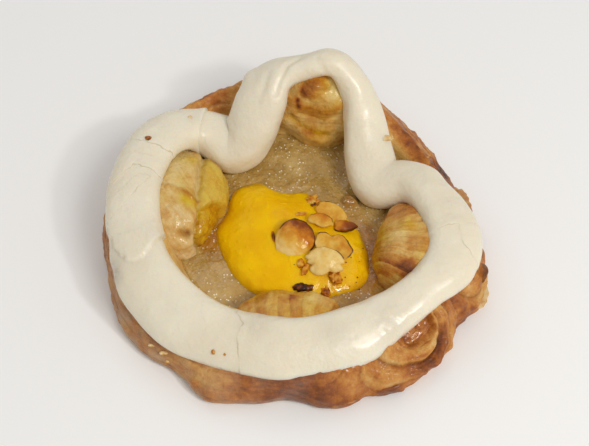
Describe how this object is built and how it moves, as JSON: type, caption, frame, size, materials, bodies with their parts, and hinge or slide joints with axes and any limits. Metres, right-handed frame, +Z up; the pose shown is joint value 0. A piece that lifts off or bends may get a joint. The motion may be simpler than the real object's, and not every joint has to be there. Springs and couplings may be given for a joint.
{
  "type": "danish pastry",
  "caption": "Round iced Danish pastry: laminated dough folded in at its corners over almond paste, with custard, toasted almond and a thick ring of white icing",
  "frame": {"origin": "on the surface that the pastry stands on, under the middle of its outline seen from above", "axes": "+Z up, +X to the right and +Y to the back, where the tall folded corner stands"},
  "size_m": [0.1079, 0.1086, 0.0381],
  "materials": {
    "baked_dough": "flaky baked crust with an egg-wash shine on the browned edges",
    "white_icing": "set sugar icing, warm white with a soft gloss",
    "almond_paste": "moist grainy paste with many small highlights",
    "yellow_custard": "smooth saturated yellow custard with small pimples",
    "toasted_almond": "toasted almond, pale cream to dark brown with a thin brown skin at the rim"
  },
  "bodies": {
    "root": {"dough": "baked_dough", "icing": "white_icing", "almond_paste": "almond_paste", "custard": "yellow_custard", "almond_slice_toasted": "toasted_almond", "almond_slice_pale": "toasted_almond", "almond_chunk_pale": "toasted_almond", "almond_slice_back": "toasted_almond", "almond_chip_brown": "toasted_almond", "almond_wedge_dark": "toasted_almond"}
  },
  "joints": []
}
